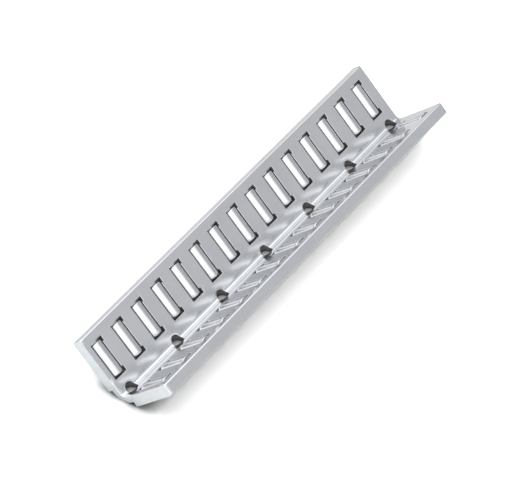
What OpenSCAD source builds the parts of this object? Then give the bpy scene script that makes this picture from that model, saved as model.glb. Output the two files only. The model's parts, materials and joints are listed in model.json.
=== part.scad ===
// Angled needle roller cage for a V guideway: one flexible angle cage with two
// perforated legs, and a needle roller in every pocket. X runs along the guideway,
// Z points out of the V, and the web rests on Z = 0 at mid-length.

/* [Cage] */
// Number of needles in each leg
needles_per_leg = 15; // [2:1:28]
// Distance from one needle to the next
needle_pitch = 4; // [3:0.1:8]
// Distance from the -X end face to the axis of the first needle
start_margin = 1.87; // [1.6:0.01:6]
// Distance from the axis of the last needle to the +X end face
end_margin = 2.53; // [1.6:0.01:6]
// Width of each leg, from the inner corner of the V to the free edge
leg_width = 8.85; // [8.2:0.05:20]
// Thickness of each leg
leg_thickness = 1.65; // [1.3:0.05:1.95]
// Angle between each leg and the upright plane of symmetry
leg_angle = 45; // [40:1:50]
// Chamfer along the free edges of the legs
edge_chamfer = 0.15; // [0.05:0.05:0.5]

/* [Web between the legs] */
// Thickness of the flexible web at its lowest line
web_thickness = 0.75; // [0.4:0.05:1.2]
// Radius of the rounded outside of the web
web_outer_r = 2; // [1.8:0.1:2.5]
// Radius of the fillet inside the V
inner_fillet_r = 0.65; // [0.2:0.05:0.9]
// Distance from the inner corner of the V to the step outside each leg
step_offset = 1.35; // [1:0.05:2]

/* [Needles] */
// Diameter of a needle
needle_d = 2; // [1.9:0.05:2.5]
// Length of a needle
needle_length = 4.8; // [3:0.1:5.8]
// Radius that rounds the rims of a needle
needle_rim_r = 0.2; // [0.05:0.05:0.4]
// Distance from the inner corner of the V to the middle of each needle
needle_offset = 4.88; // [4.6:0.01:5.4]

/* [Pockets] */
// Gap between the flank of a needle and the wall of its pocket
side_clearance = 0.07; // [0.03:0.01:0.12]
// Gap between the end of a needle and the end of its pocket
end_clearance = 0.28; // [0.1:0.01:0.5]
// Thickness of the lips that hold a needle in, measured at their edge
lip_edge = 0.09; // [0.05:0.01:0.2]
// Length of the stretch without lips at each end of a pocket
relief_length = 0.75; // [0.3:0.05:1.2]

/* [Web holes] */
// Diameter of a hole
hole_d = 1.6; // [0.8:0.1:2]
// Distance from one hole to the next
hole_pitch = 9.46; // [3:0.01:14]
// Least distance from the middle of a hole to an end face
hole_end_margin = 1.5; // [1.2:0.1:5]

/* [Hidden] */
$fn = 64;
// Overlap that lets a cut pass clear through a face
cut_through = 0.5;

sides = ["left", "right"];
cage_length = start_margin + (needles_per_leg - 1) * needle_pitch + end_margin;
first_needle_x = start_margin - cage_length / 2;
// As many holes as fit between the end margins
hole_count = floor((cage_length - 2 * hole_end_margin) / hole_pitch) + 1;

// Height of the sharp inner corner that the two inner faces would meet in
fillet_rise = inner_fillet_r / sin(leg_angle) - inner_fillet_r;
corner_z = web_thickness - fillet_rise;

needle_r = needle_d / 2;
pocket_r = needle_r + side_clearance;
pocket_length = needle_length + 2 * end_clearance;
lip_length = pocket_length - 2 * relief_length;
// Distance from a needle's axis to the lips: where the round pocket leaves them lip_edge thick
lip_reach = sqrt(pow(pocket_r, 2) - pow(leg_thickness / 2 - lip_edge, 2));

function two_digits(n) = n < 10 ? str("0", n) : str(n);
function needle_name(side, n) = str(side, "_needle_", two_digits(n));
function needle_x(n) = first_needle_x + (n - 1) * needle_pitch;

// Places its children on a leg: local Z runs along the leg from the inner corner,
// local Y goes outwards through the leg from its inner face. The left leg is at +Y.
module on_leg(side) {
    translate([0, 0, corner_z])
        mirror([0, side == "right" ? 1 : 0, 0])
            rotate([-leg_angle, 0, 0])
                children();
}

// Places its children at the middle of needle n of a leg, with local Z along the needle
module at_needle(side, n) {
    on_leg(side)
        translate([needle_x(n), leg_thickness / 2, needle_offset])
            children();
}

// Point of the cage's cross-section at a depth from the left leg's inner face and a
// distance along the leg
function leg_point(depth, along) = [
    along * sin(leg_angle) + depth * cos(leg_angle),
    corner_z + along * cos(leg_angle) - depth * sin(leg_angle)
];

// Outline of both legs from step to free edge, filled in across the V
module legs_section() {
    left = [
        leg_point(0, step_offset),
        leg_point(leg_thickness, step_offset),
        leg_point(leg_thickness, leg_width - edge_chamfer),
        leg_point(leg_thickness - edge_chamfer, leg_width),
        leg_point(edge_chamfer, leg_width),
        leg_point(0, leg_width - edge_chamfer)
    ];
    right = [for (i = [len(left) - 1:-1:0]) [-left[i].x, left[i].y]];
    polygon(concat(left, right));
}

// Outline of the open V, with its bottom rounded where it touches both inner faces
module v_section() {
    tangent = inner_fillet_r / tan(leg_angle);
    left = [leg_point(0, tangent), leg_point(0, leg_width + cut_through)];
    polygon([left[0], left[1], [-left[1].x, left[1].y], [-left[0].x, left[0].y]]);
    translate([0, corner_z + inner_fillet_r / sin(leg_angle)])
        circle(r = inner_fillet_r);
}

// Cross-section of the whole cage, with the outside of the web at Y = 0
module cage_section() {
    difference() {
        union() {
            legs_section();
            translate([0, web_outer_r])
                circle(r = web_outer_r);
        }
        v_section();
    }
}

// Opening of one pocket around its needle: a slot past the lips on the -X side, the
// round bed behind the lips, and a full-width relief at each end
module pocket() {
    depth = leg_thickness + 2 * cut_through;
    linear_extrude(height = lip_length, center = true) {
        translate([-pocket_r, -depth / 2])
            square([pocket_r + lip_reach, depth]);
        intersection() {
            circle(r = pocket_r);
            translate([0, -pocket_r])
                square([pocket_r, 2 * pocket_r]);
        }
    }
    for (end = [-1, 1])
        translate([0, 0, end * (pocket_length - relief_length) / 2])
            cube([2 * pocket_r, depth, relief_length], center = true);
}

// Row of upright holes through the web
module web_holes() {
    for (i = [0:1:hole_count - 1])
        translate([(i - (hole_count - 1) / 2) * hole_pitch, 0, -cut_through])
            cylinder(d = hole_d, h = leg_width);
}

module cage() {
    color("#b6b8bd")
        difference() {
            rotate([90, 0, 90])
                linear_extrude(height = cage_length, center = true)
                    cage_section();
            for (side = sides, n = [1:needles_per_leg])
                at_needle(side, n)
                    pocket();
            web_holes();
        }
}

// Half of a needle's lengthwise section, with rounded rims
module needle_section() {
    half = needle_length / 2;
    square_r = needle_r - needle_rim_r;
    translate([0, -half])
        square([square_r, needle_length]);
    translate([0, needle_rim_r - half])
        square([needle_r, needle_length - 2 * needle_rim_r]);
    for (end = [-1, 1])
        translate([square_r, end * (half - needle_rim_r)])
            circle(r = needle_rim_r);
}

module needle(side, n) {
    color("#e4e6ea")
        at_needle(side, n)
            rotate_extrude()
                needle_section();
}

cage();
for (side = sides, n = [1:needles_per_leg])
    needle(side, n);
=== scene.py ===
# Angled needle roller cage: finish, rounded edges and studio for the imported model
import json
import math
import bmesh
import bpy
import numpy as np
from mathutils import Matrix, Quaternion, Vector


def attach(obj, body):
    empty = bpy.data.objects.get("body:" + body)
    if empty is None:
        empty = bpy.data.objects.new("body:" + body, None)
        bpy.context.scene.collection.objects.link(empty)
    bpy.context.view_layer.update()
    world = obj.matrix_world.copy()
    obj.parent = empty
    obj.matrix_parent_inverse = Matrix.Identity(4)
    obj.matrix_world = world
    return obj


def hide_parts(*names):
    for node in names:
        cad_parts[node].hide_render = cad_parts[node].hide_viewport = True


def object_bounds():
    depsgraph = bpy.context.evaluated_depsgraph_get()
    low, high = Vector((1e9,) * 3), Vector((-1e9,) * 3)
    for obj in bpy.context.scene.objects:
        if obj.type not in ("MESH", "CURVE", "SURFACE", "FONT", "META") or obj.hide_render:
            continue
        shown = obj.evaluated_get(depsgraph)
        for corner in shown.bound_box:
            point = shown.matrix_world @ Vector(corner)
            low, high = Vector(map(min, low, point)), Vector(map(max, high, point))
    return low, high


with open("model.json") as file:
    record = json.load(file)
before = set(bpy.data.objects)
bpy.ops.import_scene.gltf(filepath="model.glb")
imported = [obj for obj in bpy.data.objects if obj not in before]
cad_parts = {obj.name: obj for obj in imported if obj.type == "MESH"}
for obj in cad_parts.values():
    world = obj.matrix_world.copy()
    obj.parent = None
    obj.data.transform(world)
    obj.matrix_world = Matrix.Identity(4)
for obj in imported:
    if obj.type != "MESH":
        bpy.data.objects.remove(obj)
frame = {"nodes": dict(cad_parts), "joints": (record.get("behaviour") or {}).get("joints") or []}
cadLow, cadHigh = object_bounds()
scene = bpy.context.scene
print("Frame loaded:", len(frame["nodes"]), "nodes")

camera = {
    "azimuth": -54.83,  # degrees round the object, 0 looks along +Y
    "elevation": 45.16,  # degrees above the floor
    "roll": -0.12,  # degrees round the line of sight
    "distance": 0.41808,  # metres from the aim
    "aim": (-0.00195, 0.0, 0.00233),
    "lens": 233.5, "sensor": 36.0,  # mm
    "clip": (0.01, 20.0),  # metres, nearest and farthest that show
}


def addCamera(values):
    azimuth = math.radians(values["azimuth"])
    elevation = math.radians(values["elevation"])
    back = Vector((
        math.sin(azimuth) * math.cos(elevation),
        -math.cos(azimuth) * math.cos(elevation),
        math.sin(elevation),
    ))
    data = bpy.data.cameras.new("camera")
    data.sensor_width = values["sensor"]
    data.lens = values["lens"]
    data.clip_start, data.clip_end = values["clip"]
    item = bpy.data.objects.new("camera", data)
    scene.collection.objects.link(item)
    item.location = Vector(values["aim"]) + back * values["distance"]
    roll = Quaternion((0, 0, 1), math.radians(values["roll"]))
    item.rotation_mode = "QUATERNION"
    item.rotation_quaternion = (-back).to_track_quat("-Z", "Y") @ roll
    return item


scene.camera = addCamera(camera)
print("Camera placed")


def addNode(tree, kind, settings=None, **inputs):
    # settings are the node's own properties, inputs are values or sockets by the input's
    # name, or by its number written i0, i1 and so on
    node = tree.nodes.new(kind)
    for name, value in (settings or {}).items():
        setattr(node, name, value)
    for name, value in inputs.items():
        numbered = name[0] == "i" and name[1:].isdigit()
        socket = node.inputs[int(name[1:]) if numbered else name]
        if isinstance(value, bpy.types.NodeSocket):
            tree.links.new(value, socket)
        else:
            socket.default_value = value
    return node


def rangeNode(tree, value, fromMin, fromMax, toMin, toMax, interpolation="LINEAR"):
    # value moved from one range to the other, and held at its ends
    node = addNode(
        tree, "ShaderNodeMapRange", {"interpolation_type": interpolation},
        i0=value, i1=fromMin, i2=fromMax, i3=toMin, i4=toMax,
    )
    return node.outputs[0]


def makeGroup(name, inputs, outputs):
    # inputs are (name, kind, default); every socket is made through the group's interface
    tree = bpy.data.node_groups.new(name, "ShaderNodeTree")
    for label, kind, default in inputs:
        socket = tree.interface.new_socket(label, in_out="INPUT", socket_type=kind)
        if default is not None:
            socket.default_value = default
    for label, kind in outputs:
        tree.interface.new_socket(label, in_out="OUTPUT", socket_type=kind)
    return tree, tree.nodes.new("NodeGroupInput"), tree.nodes.new("NodeGroupOutput")


noiseRange = (0.3, 0.7)  # the part of a noise that is spread over a finish's own range


def makeMetalTone():
    # soft clouds of a slightly lighter, cooler and a darker, warmer metal
    tree, given, made = makeGroup(
        "metalTone",
        [("place", "NodeSocketVector", None), ("size", "NodeSocketFloat", 300.0),
         ("light", "NodeSocketColor", (0.8, 0.8, 0.8, 1)),
         ("dark", "NodeSocketColor", (0.7, 0.7, 0.7, 1))],
        [("colour", "NodeSocketColor")],
    )
    noise = addNode(
        tree, "ShaderNodeTexNoise", None,
        Vector=given.outputs["place"], Scale=given.outputs["size"], Detail=3.0, Roughness=0.55,
    )
    cloud = rangeNode(tree, noise.outputs[0], *noiseRange, 0.0, 1.0)
    mix = addNode(
        tree, "ShaderNodeMix", {"data_type": "RGBA"},
        i0=cloud, i6=given.outputs["dark"], i7=given.outputs["light"],
    )
    tree.links.new(mix.outputs[2], made.inputs["colour"])
    return tree


def makeFineLines():
    # fine parallel lines: noise squeezed across the lines and stretched along them
    tree, given, made = makeGroup(
        "fineLines",
        [("place", "NodeSocketVector", None), ("stretch", "NodeSocketVector", (1, 1, 1)),
         ("low", "NodeSocketFloat", 0.2), ("high", "NodeSocketFloat", 0.3)],
        [("height", "NodeSocketFloat"), ("roughness", "NodeSocketFloat")],
    )
    squeezed = addNode(
        tree, "ShaderNodeVectorMath", {"operation": "MULTIPLY"},
        i0=given.outputs["place"], i1=given.outputs["stretch"],
    )
    noise = addNode(
        tree, "ShaderNodeTexNoise", None,
        Vector=squeezed.outputs[0], Scale=1.0, Detail=4.0, Roughness=0.6,
    )
    shine = rangeNode(
        tree, noise.outputs[0], *noiseRange, given.outputs["low"], given.outputs["high"],
    )
    tree.links.new(noise.outputs[0], made.inputs["height"])
    tree.links.new(shine, made.inputs["roughness"])
    return tree


metalTone = makeMetalTone()
fineLines = makeFineLines()


def makeMetal(name, values, coordinate="Object"):
    # one metal: clouded colour, lined roughness and a shallow bump from the same lines
    material = bpy.data.materials.new(name)
    material.use_nodes = True
    tree = material.node_tree
    tree.nodes.clear()
    place = addNode(tree, "ShaderNodeTexCoord").outputs["Object"]
    linePlace = addNode(tree, "ShaderNodeTexCoord").outputs[coordinate]
    tone = addNode(
        tree, "ShaderNodeGroup", {"node_tree": metalTone}, place=place, size=values["cloudSize"],
        light=(*values["light"], 1), dark=(*values["dark"], 1),
    )
    lines = addNode(
        tree, "ShaderNodeGroup", {"node_tree": fineLines}, place=linePlace,
        stretch=values["stretch"],
        low=values["roughness"][0], high=values["roughness"][1],
    )
    bump = addNode(
        tree, "ShaderNodeBump", None,
        Strength=values["bump"], Distance=values["bumpHeight"], Height=lines.outputs["height"],
    )
    shader = addNode(tree, "ShaderNodeBsdfPrincipled", None, Metallic=values["metallic"])
    tree.links.new(tone.outputs["colour"], shader.inputs["Base Color"])
    tree.links.new(lines.outputs["roughness"], shader.inputs["Roughness"])
    tree.links.new(bump.outputs["Normal"], shader.inputs["Normal"])
    output = addNode(tree, "ShaderNodeOutputMaterial")
    tree.links.new(shader.outputs[0], output.inputs[0])
    return material


def readNeedles():
    # body, centre, axis, radius and half length of every needle, from the frame
    found = []
    for joint in frame["joints"]:
        source = frame["nodes"][joint["child"]].data
        points = np.empty(len(source.vertices) * 3)
        source.vertices.foreach_get("co", points)
        centre = np.array(joint["pos_m"])
        axis = np.array(joint["axis"]) / np.linalg.norm(joint["axis"])
        offset = points.reshape(-1, 3) - centre
        along = offset @ axis
        radius = np.linalg.norm(offset - along[:, None] * axis, axis=1).max()
        found.append({"body": joint["child"], "centre": centre, "axis": axis,
                      "radius": radius, "half": along.max()})
    return found


class Surface:
    # gathers pieces of surface and welds them into one closed mesh
    def __init__(self):
        self.points, self.faces, self.finish, self.count = [], [], [], 0

    def addFaces(self, points, faces, finish):
        # faces hold numbers counted on from the points gathered so far
        self.points.append(points.reshape(-1, 3))
        self.faces += faces.tolist()
        self.finish.append(np.full(len(faces), finish))
        self.count += points.size // 3

    def addGrid(self, points, finish, keep=None):
        # the quads between neighbours in a grid of points, or only those keep marks
        rows, columns = points.shape[:2]
        row, column = np.meshgrid(np.arange(rows - 1), np.arange(columns - 1), indexing="ij")
        first = self.count + row * columns + column
        quads = np.stack([first, first + 1, first + columns + 1, first + columns], -1)
        quads = quads.reshape(-1, 4) if keep is None else quads[keep]
        self.addFaces(points, quads, finish)

    def addOutline(self, points, finish):
        # one face with these points round it
        self.addFaces(points, self.count + np.arange(len(points))[None], finish)

    def weld(self, name, distance):
        # joins points that meet and turns every face outwards
        mesh = bpy.data.meshes.new(name)
        mesh.from_pydata(np.concatenate(self.points).tolist(), [], self.faces)
        mesh.polygons.foreach_set("material_index", np.concatenate(self.finish).astype(np.int32))
        shape = bmesh.new()
        shape.from_mesh(mesh)
        bmesh.ops.remove_doubles(shape, verts=shape.verts, dist=distance)
        bmesh.ops.recalc_face_normals(shape, faces=shape.faces)
        shape.to_mesh(mesh)
        shape.free()
        mesh.polygons.foreach_set("use_smooth", np.ones(len(mesh.polygons), bool))
        return mesh


cage = {
    # metres
    "legWidth": 0.00885, "legThickness": 0.00165, "edgeChamfer": 0.00015,
    "webThickness": 0.00075, "webOuterRadius": 0.002, "innerFillet": 0.00065,
    "stepOffset": 0.00135,
    "sideClearance": 0.00007, "endClearance": 0.00028,
    "lipEdge": 0.00009, "reliefLength": 0.00075,
    "holeDiameter": 0.0016, "holePitch": 0.00946, "holeEndMargin": 0.0015,
    "webHalf": 0.0013,  # half width of the part of the mesh that holds the web holes
    "tileHalf": 0.00125,  # half length of the mesh round one hole
    "leastGap": 0.00015,  # mesh lines round a hole keep this far from the pockets' lines
    "arcPoints": 13,  # odd, on the fillet and on the bed of a pocket
    "tileLines": 7,  # mesh lines across one hole's tile
    "tileRings": 5,  # from a hole's circle to the border of its tile
    "weldDistance": 0.000001,
    "edgeRound": 0.00003, "edgeSegments": 2,
    "edgeAngle": 30.0,  # degrees, sharper edges are rounded
    "drawn": {  # drawn faces of the legs and the web
        "metallic": 1.0,
        "light": (0.81, 0.82, 0.84), "dark": (0.75, 0.76, 0.785), "cloudSize": 170.0,
        "stretch": (60.0, 5000.0, 5000.0), "roughness": (0.15, 0.19),
        "bump": 0.02, "bumpHeight": 0.00001,
    },
    "cut": {  # sawn and ground end faces, which scatter some of the light
        "metallic": 0.7,
        "light": (0.89, 0.93, 0.955), "dark": (0.85, 0.89, 0.915), "cloudSize": 500.0,
        "stretch": (9000.0, 700.0, 14000.0), "roughness": (0.38, 0.48),
        "bump": 0.12, "bumpHeight": 0.00001,
    },
    "bore": {  # walls of the web holes: the darker colour is painted shade for the inside of the holes, and the roughness is from the drill
        "metallic": 1.0,
        "light": (0.62, 0.62, 0.62), "dark": (0.52, 0.52, 0.525), "cloudSize": 900.0,
        "stretch": (2000.0, 2000.0, 9000.0), "roughness": (0.35, 0.45),
        "bump": 0.1, "bumpHeight": 0.00001,
    },
    "pocket": {  # walls of the pockets: the dark colour is painted shade for the deep pockets, and the roughness is from the cutter
        "metallic": 1.0,
        "light": (0.34, 0.34, 0.34), "dark": (0.26, 0.26, 0.27), "cloudSize": 900.0,
        "stretch": (3000.0, 3000.0, 300.0), "roughness": (0.42, 0.55),
        "bump": 0.1, "bumpHeight": 0.00001,
    },
    "edge": {  # burnished edges
        "metallic": 1.0,
        "light": (0.90, 0.90, 0.91), "dark": (0.82, 0.83, 0.85), "cloudSize": 600.0,
        "stretch": (300.0, 9000.0, 9000.0), "roughness": (0.18, 0.26),
        "bump": 0.05, "bumpHeight": 0.00001,
    },
}
finishes = ("drawn", "cut", "pocket", "bore", "edge")
drawnFinish, cutFinish, pocketFinish, boreFinish, edgeFinish = range(len(finishes))
tiny = 1e-9  # metres, for telling whether two places are the same


def measureCage(v, needles):
    # the lengths the cage's surfaces share, from its own sizes and the needles' places
    m = {}
    lean = math.atan2(abs(needles[0]["axis"][1]), needles[0]["axis"][2])
    m["lean"], m["sinLean"], m["cosLean"] = lean, math.sin(lean), math.cos(lean)
    m["halfLength"] = cadHigh.x
    m["cornerZ"] = v["webThickness"] - v["innerFillet"] / m["sinLean"] + v["innerFillet"]
    m["pocketX"] = np.unique([round(found["centre"][0], 9) for found in needles])
    m["pocketRadius"] = needles[0]["radius"] + v["sideClearance"]
    m["lip"] = math.sqrt(m["pocketRadius"] ** 2 - (v["legThickness"] / 2 - v["lipEdge"]) ** 2)
    # distances up the leg from the inner corner: pocket, lips and the free edge
    middle = (abs(needles[0]["centre"][1]) - v["legThickness"] / 2 * m["cosLean"]) / m["sinLean"]
    m["pocketLow"] = middle - needles[0]["half"] - v["endClearance"]
    m["pocketHigh"] = middle + needles[0]["half"] + v["endClearance"]
    m["lipLow"] = m["pocketLow"] + v["reliefLength"]
    m["lipHigh"] = m["pocketHigh"] - v["reliefLength"]
    m["rim"] = v["legWidth"] - v["edgeChamfer"]
    m["seam"] = v["webHalf"] / m["sinLean"]
    count = int((2 * m["halfLength"] - 2 * v["holeEndMargin"]) // v["holePitch"]) + 1
    m["holeX"] = (np.arange(count) - (count - 1) / 2) * v["holePitch"]
    # depth at which the step outside a leg meets the round web, where
    # (depth * cos + step * sin)^2 + (depth * sin - step * cos + outer - corner)^2 = outer^2
    drop = m["cornerZ"] - v["webOuterRadius"]
    square = v["stepOffset"] ** 2 + 2 * drop * v["stepOffset"] * m["cosLean"] + drop ** 2
    root = (drop * m["sinLean"]) ** 2 - square + v["webOuterRadius"] ** 2
    m["stepDepth"] = drop * m["sinLean"] + math.sqrt(root)
    # lines across the cage: both walls and the lip of every pocket, then the lines round
    # the holes
    near = np.array([-m["pocketRadius"], m["lip"], m["pocketRadius"]])
    lines = np.append((m["pocketX"][:, None] + near).ravel(), [-m["halfLength"], m["halfLength"]])
    roundHole = np.linspace(-1, 1, v["tileLines"]) * v["tileHalf"]
    for x in (m["holeX"][:, None] + roundHole).ravel():
        if np.abs(lines - x).min() > v["leastGap"]:
            lines = np.append(lines, x)
    m["lines"] = np.sort(lines)
    m["gaps"] = (m["lines"][1:] + m["lines"][:-1]) / 2
    return m


def onLeg(side, m, x, along, depth):
    # place on a leg: along runs up the leg, depth goes outwards through it
    x, along, depth = np.broadcast_arrays(x, along, depth)
    y = side * (along * m["sinLean"] + depth * m["cosLean"])
    return np.stack([x, y, m["cornerZ"] + along * m["cosLean"] - depth * m["sinLean"]], -1)


def addLeg(surface, side, v, m):
    # flat faces with the pockets left open, the free edge, and the step beside the web
    lines, thickness = m["lines"], v["legThickness"]
    nearest = np.abs(m["gaps"][:, None] - m["pocketX"]).argmin(1)
    offset = m["gaps"] - m["pocketX"][nearest]
    overPocket = np.abs(offset) < m["pocketRadius"]
    covered = np.ones((5, len(offset)), bool)
    covered[1] = covered[3] = ~overPocket
    covered[2] = ~overPocket | (offset > m["lip"])
    rows = [m["pocketLow"], m["lipLow"], m["lipHigh"], m["pocketHigh"], m["rim"]]
    for depth, start in ((0, m["seam"]), (thickness, v["stepOffset"])):
        up = np.array([start] + rows)[:, None]
        surface.addGrid(onLeg(side, m, lines[None], up, depth), drawnFinish, covered)
    crest = crestOutline(v, m)
    step = np.array([[thickness, v["stepOffset"]], [m["stepDepth"], v["stepOffset"]]])
    for strip in (crest, step):
        points = onLeg(side, m, lines[None], strip[:, 1:], strip[:, :1])
        surface.addGrid(points, drawnFinish)


def crestOutline(v, m):
    # depth and height of the free edge: a flat top between two chamfers
    chamfer, thickness = v["edgeChamfer"], v["legThickness"]
    return np.array([[0, m["rim"]], [chamfer, v["legWidth"]],
                     [thickness - chamfer, v["legWidth"]], [thickness, m["rim"]]])


def addPocket(surface, side, x, v, m):
    # straight walls at the ends and the open side, and on the other side lips with a
    # round bed: x = radius * cos(angle), depth = half thickness + radius * sin(angle)
    radius, lip, thickness = m["pocketRadius"], m["lip"], v["legThickness"]
    low, lipLow, lipHigh, high = m["pocketLow"], m["lipLow"], m["lipHigh"], m["pocketHigh"]
    across = m["lines"][np.abs(m["lines"] - x) < radius + tiny]
    levels = np.array([[0], [thickness / 2], [thickness]])
    for along in (low, high):
        surface.addGrid(onLeg(side, m, across[None], along, levels), pocketFinish)
    walls = ((-radius, [low, lipLow, lipHigh, high]), (radius, [low, lipLow]),
             (radius, [lipHigh, high]))
    for offset, ups in walls:
        points = onLeg(side, m, x + offset, np.array([ups]), levels)
        surface.addGrid(points, pocketFinish)
    bow = math.acos(lip / radius)
    angle = np.linspace(-bow, bow, v["arcPoints"])
    bedX = x + radius * np.cos(angle)
    bedDepth = thickness / 2 + radius * np.sin(angle)
    ups = np.array([[lipLow, lipHigh]])
    surface.addGrid(onLeg(side, m, bedX[:, None], ups, bedDepth[:, None]), pocketFinish)
    centre = v["arcPoints"] // 2
    faces = ((0, 0, slice(centre, None, -1)), (thickness, -1, slice(centre, None)))
    for face, edge, half in faces:
        lipFace = np.array([[face], [bedDepth[edge]]])
        surface.addGrid(onLeg(side, m, x + lip, ups, lipFace), pocketFinish)
        endX = np.concatenate([[x + lip, x + radius], bedX[half]])
        endDepth = np.concatenate([[face, face], bedDepth[half]])
        for along in (lipLow, lipHigh):
            surface.addOutline(onLeg(side, m, endX, along, endDepth), pocketFinish)


def webHeights(v, m):
    # inside: the two leg faces and between them an arc of the fillet's radius; outside:
    # an arc of the web's outer radius. Each comes with the rows of its grid
    fillet, outer = v["innerFillet"], v["webOuterRadius"]
    tangent = fillet * m["cosLean"]

    def inner(y):
        arc = m["cornerZ"] + fillet / m["sinLean"] - np.sqrt(np.maximum(fillet ** 2 - y ** 2, 0))
        flat = m["cornerZ"] + np.abs(y) / math.tan(m["lean"])
        return np.where(np.abs(y) < tangent, arc, flat)

    def under(y):
        return outer - np.sqrt(outer ** 2 - y ** 2)

    between = (tangent + v["webHalf"]) / 2
    turn = np.linspace(-1, 1, v["arcPoints"]) * (math.pi / 2 - m["lean"])
    innerY = np.concatenate([[-v["webHalf"], -between], fillet * np.sin(turn),
                             [between, v["webHalf"]]])
    underHalf = v["stepOffset"] * m["sinLean"] + m["stepDepth"] * m["cosLean"]
    underY = outer * np.sin(np.linspace(-1, 1, len(innerY)) * math.asin(underHalf / outer))
    return (innerY, inner), (underY, under)


def addWeb(surface, v, m):
    # both skins of the web as grids, with a tile round every hole. A tile's rings are
    # shares of the way from the hole's circle to the grid's own lines
    lines, gaps = m["lines"], m["gaps"]
    skins = webHeights(v, m)
    radius = v["holeDiameter"] / 2
    tiles = [(x, lines[np.abs(lines - x + v["tileHalf"]).argmin()],
              lines[np.abs(lines - x - v["tileHalf"]).argmin()]) for x in m["holeX"]]
    solid = np.ones(len(gaps), bool)
    for x, low, high in tiles:
        solid &= (gaps < low) | (gaps > high)
    for ys, height in skins:
        gridX, gridY = np.meshgrid(lines, ys)
        keep = np.broadcast_to(solid, (len(ys) - 1, len(gaps)))
        surface.addGrid(np.stack([gridX, gridY, height(gridY)], -1), drawnFinish, keep)
    share = np.linspace(0, 1, v["tileRings"])[:, None]
    for x, low, high in tiles:
        xs = lines[(lines > low - tiny) & (lines < high + tiny)]
        sideways = np.concatenate([xs, np.full(len(skins[0][0]) - 2, high), xs[::-1],
                                   np.full(len(skins[0][0]) - 2, low), xs[:1]])
        borders = [np.concatenate([np.full(len(xs), ys[0]), ys[1:-1], np.full(len(xs), ys[-1]),
                                   ys[-2:0:-1], ys[:1]]) for ys, height in skins]
        angle = np.arctan2(borders[0], sideways - x)
        rimX, rimY = x + radius * np.cos(angle), radius * np.sin(angle)
        for border, (ys, height) in zip(borders, skins):
            ringX = rimX + share * (sideways - rimX)
            ringY = rimY + share * (border - rimY)
            surface.addGrid(np.stack([ringX, ringY, height(ringY)], -1), drawnFinish)
        top, bottom = skins[0][1](rimY), skins[1][1](rimY)
        level = top + np.array([[0], [0.5], [1]]) * (bottom - top)
        wall = np.stack(np.broadcast_arrays(rimX, rimY, level), -1)
        surface.addGrid(wall, boreFinish)


def addEnds(surface, v, m):
    # the section's whole outline, once round, at both ends
    (innerY, inner), (underY, under) = webHeights(v, m)
    rows = np.array([m["lipLow"], m["lipHigh"], m["pocketHigh"], m["rim"]])
    crest = crestOutline(v, m)

    def legOutline(side):
        face = onLeg(side, m, 0.0, np.concatenate([[m["seam"], m["pocketLow"]], rows]), 0)
        edge = onLeg(side, m, 0.0, crest[1:, 1], crest[1:, 0])
        down = np.concatenate([rows[-2::-1], [m["pocketLow"], v["stepOffset"]]])
        return np.concatenate([face, edge, onLeg(side, m, 0.0, down, v["legThickness"])])

    belowWeb = np.stack([underY * 0, underY, under(underY)], -1)
    aboveWeb = np.stack([innerY * 0, innerY, inner(innerY)], -1)
    outline = np.concatenate([
        legOutline(1), belowWeb[::-1], legOutline(-1)[::-1], aboveWeb[1:-1],
    ])
    for x in (-m["halfLength"], m["halfLength"]):
        surface.addOutline(outline + [x, 0, 0], cutFinish)


def makeCage(values, needles):
    # both legs with their pockets, the web and the two ends, welded, then the edges rounded
    # and the flat faces kept flat in the shading
    measures = measureCage(values, needles)
    surface = Surface()
    for side in (1, -1):
        addLeg(surface, side, values, measures)
        for x in measures["pocketX"]:
            addPocket(surface, side, x, values, measures)
    addWeb(surface, values, measures)
    addEnds(surface, values, measures)
    mesh = surface.weld("cage_shell", values["weldDistance"])
    for name in finishes:
        mesh.materials.append(makeMetal(name + "Aluminium", values[name]))
    piece = bpy.data.objects.new("cage_shell", mesh)
    scene.collection.objects.link(piece)
    bevel = piece.modifiers.new("roundedEdges", "BEVEL")
    bevel.width = values["edgeRound"]
    bevel.segments = values["edgeSegments"]
    bevel.limit_method = "ANGLE"
    bevel.angle_limit = math.radians(values["edgeAngle"])
    bevel.use_clamp_overlap = False
    bevel.material = edgeFinish
    bevel.face_strength_mode = "FSTR_ALL"
    flatten = piece.modifiers.new("flatFaces", "WEIGHTED_NORMAL")
    flatten.mode = "FACE_AREA"
    flatten.weight = 50
    flatten.use_face_influence = True
    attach(piece, "cage")
    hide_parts("cage")


needles = readNeedles()
makeCage(cage, needles)
print("Cage finished")

needle = {
    "rimRadius": 0.0002,  # metres, rounding of the rims
    "dish": 0.00002,  # metres, depth of the hollow in an end face
    "around": 72,  # faces round a needle
    "faceSteps": 5, "rimSteps": 5, "flankSteps": 8,  # along half of its profile
    "steel": {
        # the lines run round the needle, so only the place along it counts
        "metallic": 1.0,
        "light": (0.70, 0.705, 0.715), "dark": (0.655, 0.66, 0.675), "cloudSize": 900.0,
        "stretch": (0.0, 160.0, 0.0), "roughness": (0.20, 0.24),
        "bump": 0.04, "bumpHeight": 0.000005,
    },
}


def needleProfile(radius, half, values):
    # radius and height from one end's middle to the other: a dished face, whose depth is
    # (1 - share^2)^2 of the dish, a quarter circle for the rim, a straight flank, and the
    # same again mirrored
    rim = values["rimRadius"]
    flat = radius - rim
    share = np.linspace(0, 1, values["faceSteps"] + 1)[1:]
    turn = np.linspace(0, math.pi / 2, values["rimSteps"] + 1)[1:]
    faceH = half - values["dish"] * (1 - share ** 2) ** 2
    flankH = np.linspace(half - rim, 0, values["flankSteps"] + 1)[1:]
    flankR = np.full(values["flankSteps"], radius)
    r = np.concatenate([flat * share, flat + rim * np.sin(turn), flankR])
    h = np.concatenate([faceH, half - rim + rim * np.cos(turn), flankH])
    return np.concatenate([r, r[-2::-1]]), np.concatenate([h, -h[-2::-1]])


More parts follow.
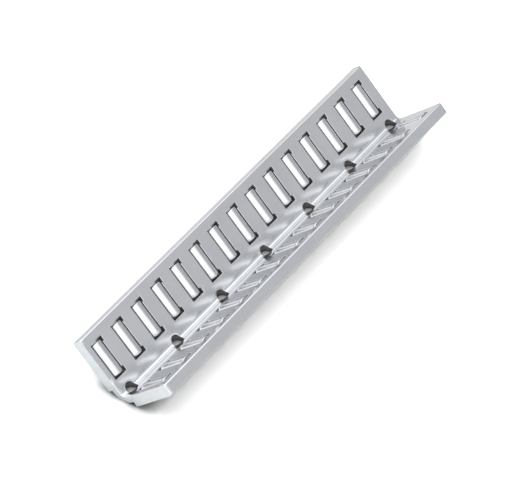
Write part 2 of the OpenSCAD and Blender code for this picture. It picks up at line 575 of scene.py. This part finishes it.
def turnedMesh(name, centre, axis, radii, heights, poleHeight, around):
    # a surface of revolution: centre + height * axis + radius * (cos * side + sin * up),
    # closed by one vertex on the axis at each end
    side = np.array([1.0, 0.0, 0.0])
    up = np.cross(axis, side)
    angle = np.arange(around) * 2 * math.pi / around
    ring = np.cos(angle)[:, None] * side + np.sin(angle)[:, None] * up
    points = centre + heights[:, None, None] * axis + radii[:, None, None] * ring
    rows = len(radii)
    poles = centre + np.array([[poleHeight], [-poleHeight]]) * axis
    points = np.concatenate([points.reshape(-1, 3), poles])
    row, column = np.meshgrid(np.arange(rows - 1), np.arange(around), indexing="ij")
    following = (column + 1) % around
    first = row * around
    quads = np.stack([first + column, first + around + column,
                      first + around + following, first + following], -1).reshape(-1, 4)
    last = (rows - 1) * around
    spin = np.arange(around)
    after = (spin + 1) % around
    top = np.stack([np.full(around, rows * around), spin, after], -1)
    bottom = np.stack([np.full(around, rows * around + 1), last + after, last + spin], -1)
    mesh = bpy.data.meshes.new(name)
    mesh.from_pydata(points.tolist(), [], quads.tolist() + top.tolist() + bottom.tolist())
    mesh.polygons.foreach_set("use_smooth", np.ones(len(mesh.polygons), bool))
    # the map runs round the needle in u and along it in v
    corner = np.empty(len(mesh.loops), np.int32)
    mesh.loops.foreach_get("vertex_index", corner)
    place = (points[corner] - centre) @ axis
    mapped = np.stack([(corner % around) / around, place / (2 * poleHeight) + 0.5], -1)
    mesh.uv_layers.new(name="alongNeedle").data.foreach_set("uv", mapped.ravel())
    return mesh


def makeNeedle(found, values, material):
    # a turned body on the axis of the needle that the frame holds, riding on its body
    radii, heights = needleProfile(found["radius"], found["half"], values)
    name = found["body"] + "_roller"
    mesh = turnedMesh(
        name, found["centre"], found["axis"], radii, heights,
        found["half"] - values["dish"], values["around"],
    )
    mesh.materials.append(material)
    piece = bpy.data.objects.new(name, mesh)
    scene.collection.objects.link(piece)
    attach(piece, found["body"])
    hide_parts(found["body"])


needleSteel = makeMetal("needleSteel", needle["steel"], "UV")
for found in needles:
    makeNeedle(found, needle, needleSteel)
print("Needles finished:", len(needles))

studio = {
    "floorSize": 6.0,  # metres across
    "floorShown": 0.92,  # how white the floor is to the eye
    "floorMirrored": 0.34,  # how white it is in the metal
    "room": (0.56, 0.568, 0.582),  # the room between the softboxes
    # softboxes in the room: where each is, the cosines at which its glow begins and is
    # full, and how much it adds
    "sideBox": ((-0.45, -0.72, 0.45), (0.45, 0.98), 1.05),
    "topBox": ((0.10, 0.20, 0.96), (0.74, 0.911), 1.0),
    "paintedContactShade": (0.002, 1.1),  # painted contact shade in the floor's colour: how far in metres and how strongly close parts darken it
    "beyond": (0.95, 0.95, 0.96),  # what shows past the floor
    "lampPower": 235.0,  # watts
    "lampSize": 5.0,  # metres across, hung level over the floor
    "lampPlace": (1.6, 0.7, 1.1),
}


def makeRoom(values):
    # an even room with the glow of two softboxes added, each rising smoothly with the
    # cosine between a direction and its middle. The room is what the metal mirrors, and
    # the lamp alone lights the floor
    world = bpy.data.worlds.new("studioRoom")
    world.use_nodes = True
    scene.world = world
    tree = world.node_tree
    tree.nodes.clear()
    direction = addNode(tree, "ShaderNodeTexCoord").outputs["Generated"]
    shine = (*values["room"], 1)
    for middle, fade, gain in (values["sideBox"], values["topBox"]):
        lean = addNode(
            tree, "ShaderNodeVectorMath", {"operation": "DOT_PRODUCT"},
            i0=direction, i1=tuple(Vector(middle).normalized()),
        ).outputs["Value"]
        glow = rangeNode(tree, lean, *fade, 0.0, 1.0, "SMOOTHSTEP")
        added = addNode(
            tree, "ShaderNodeMix", {"data_type": "RGBA", "blend_type": "ADD"},
            i0=glow, i6=shine, i7=(gain, gain, gain, 1),
        )
        shine = added.outputs[2]
    lit = addNode(tree, "ShaderNodeBackground", None, Color=shine)
    shown = addNode(tree, "ShaderNodeBackground", None, Color=(*values["beyond"], 1))
    eye = addNode(tree, "ShaderNodeLightPath").outputs["Is Camera Ray"]
    both = addNode(
        tree, "ShaderNodeMixShader", None, i0=eye, i1=lit.outputs[0], i2=shown.outputs[0],
    )
    world.cycles_visibility.diffuse = False
    output = addNode(tree, "ShaderNodeOutputWorld")
    tree.links.new(both.outputs[0], output.inputs[0])


def makeFloor(values):
    # one square at the level of the part's foot; painted shade darkens its colour close to the
    # part, and it is darker in the metal
    half = values["floorSize"] / 2
    mesh = bpy.data.meshes.new("floor")
    level = cadLow.z
    mesh.from_pydata(
        [(-half, -half, level), (half, -half, level), (half, half, level), (-half, half, level)],
        [], [(0, 1, 2, 3)],
    )
    material = bpy.data.materials.new("paleFloor")
    material.use_nodes = True
    tree = material.node_tree
    tree.nodes.clear()
    mirrored = addNode(tree, "ShaderNodeLightPath").outputs["Is Glossy Ray"]
    white = rangeNode(tree, mirrored, 0.0, 1.0, values["floorShown"], values["floorMirrored"])
    reach, strength = values["paintedContactShade"]
    # painted shade: ambient occlusion darkens the floor's colour in the web holes and round the
    # part's foot, standing in for contact shadows
    paintedShade = addNode(tree, "ShaderNodeAmbientOcclusion", {"samples": 8}, Distance=reach)
    deepPaintedShade = addNode(
        tree, "ShaderNodeMath", {"operation": "POWER"}, i0=paintedShade.outputs["AO"], i1=strength,
    )
    white = addNode(
        tree, "ShaderNodeMath", {"operation": "MULTIPLY"}, i0=white, i1=deepPaintedShade.outputs[0],
    ).outputs[0]
    colour = addNode(tree, "ShaderNodeCombineColor", None, Red=white, Green=white, Blue=white)
    shader = addNode(tree, "ShaderNodeBsdfDiffuse", None, Color=colour.outputs[0])
    output = addNode(tree, "ShaderNodeOutputMaterial")
    tree.links.new(shader.outputs[0], output.inputs[0])
    mesh.materials.append(material)
    floor = bpy.data.objects.new("floor", mesh)
    scene.collection.objects.link(floor)


def addLamp(values):
    # a broad soft lamp for the floor, which the metal doesn't mirror
    data = bpy.data.lights.new("overheadLamp", "AREA")
    data.shape = "SQUARE"
    data.size = values["lampSize"]
    data.energy = values["lampPower"]
    lamp = bpy.data.objects.new("overheadLamp", data)
    scene.collection.objects.link(lamp)
    lamp.location = values["lampPlace"]
    lamp.visible_camera = False
    lamp.visible_glossy = False


makeRoom(studio)
makeFloor(studio)
addLamp(studio)
scene.view_settings.view_transform = "Standard"
print("Studio built")
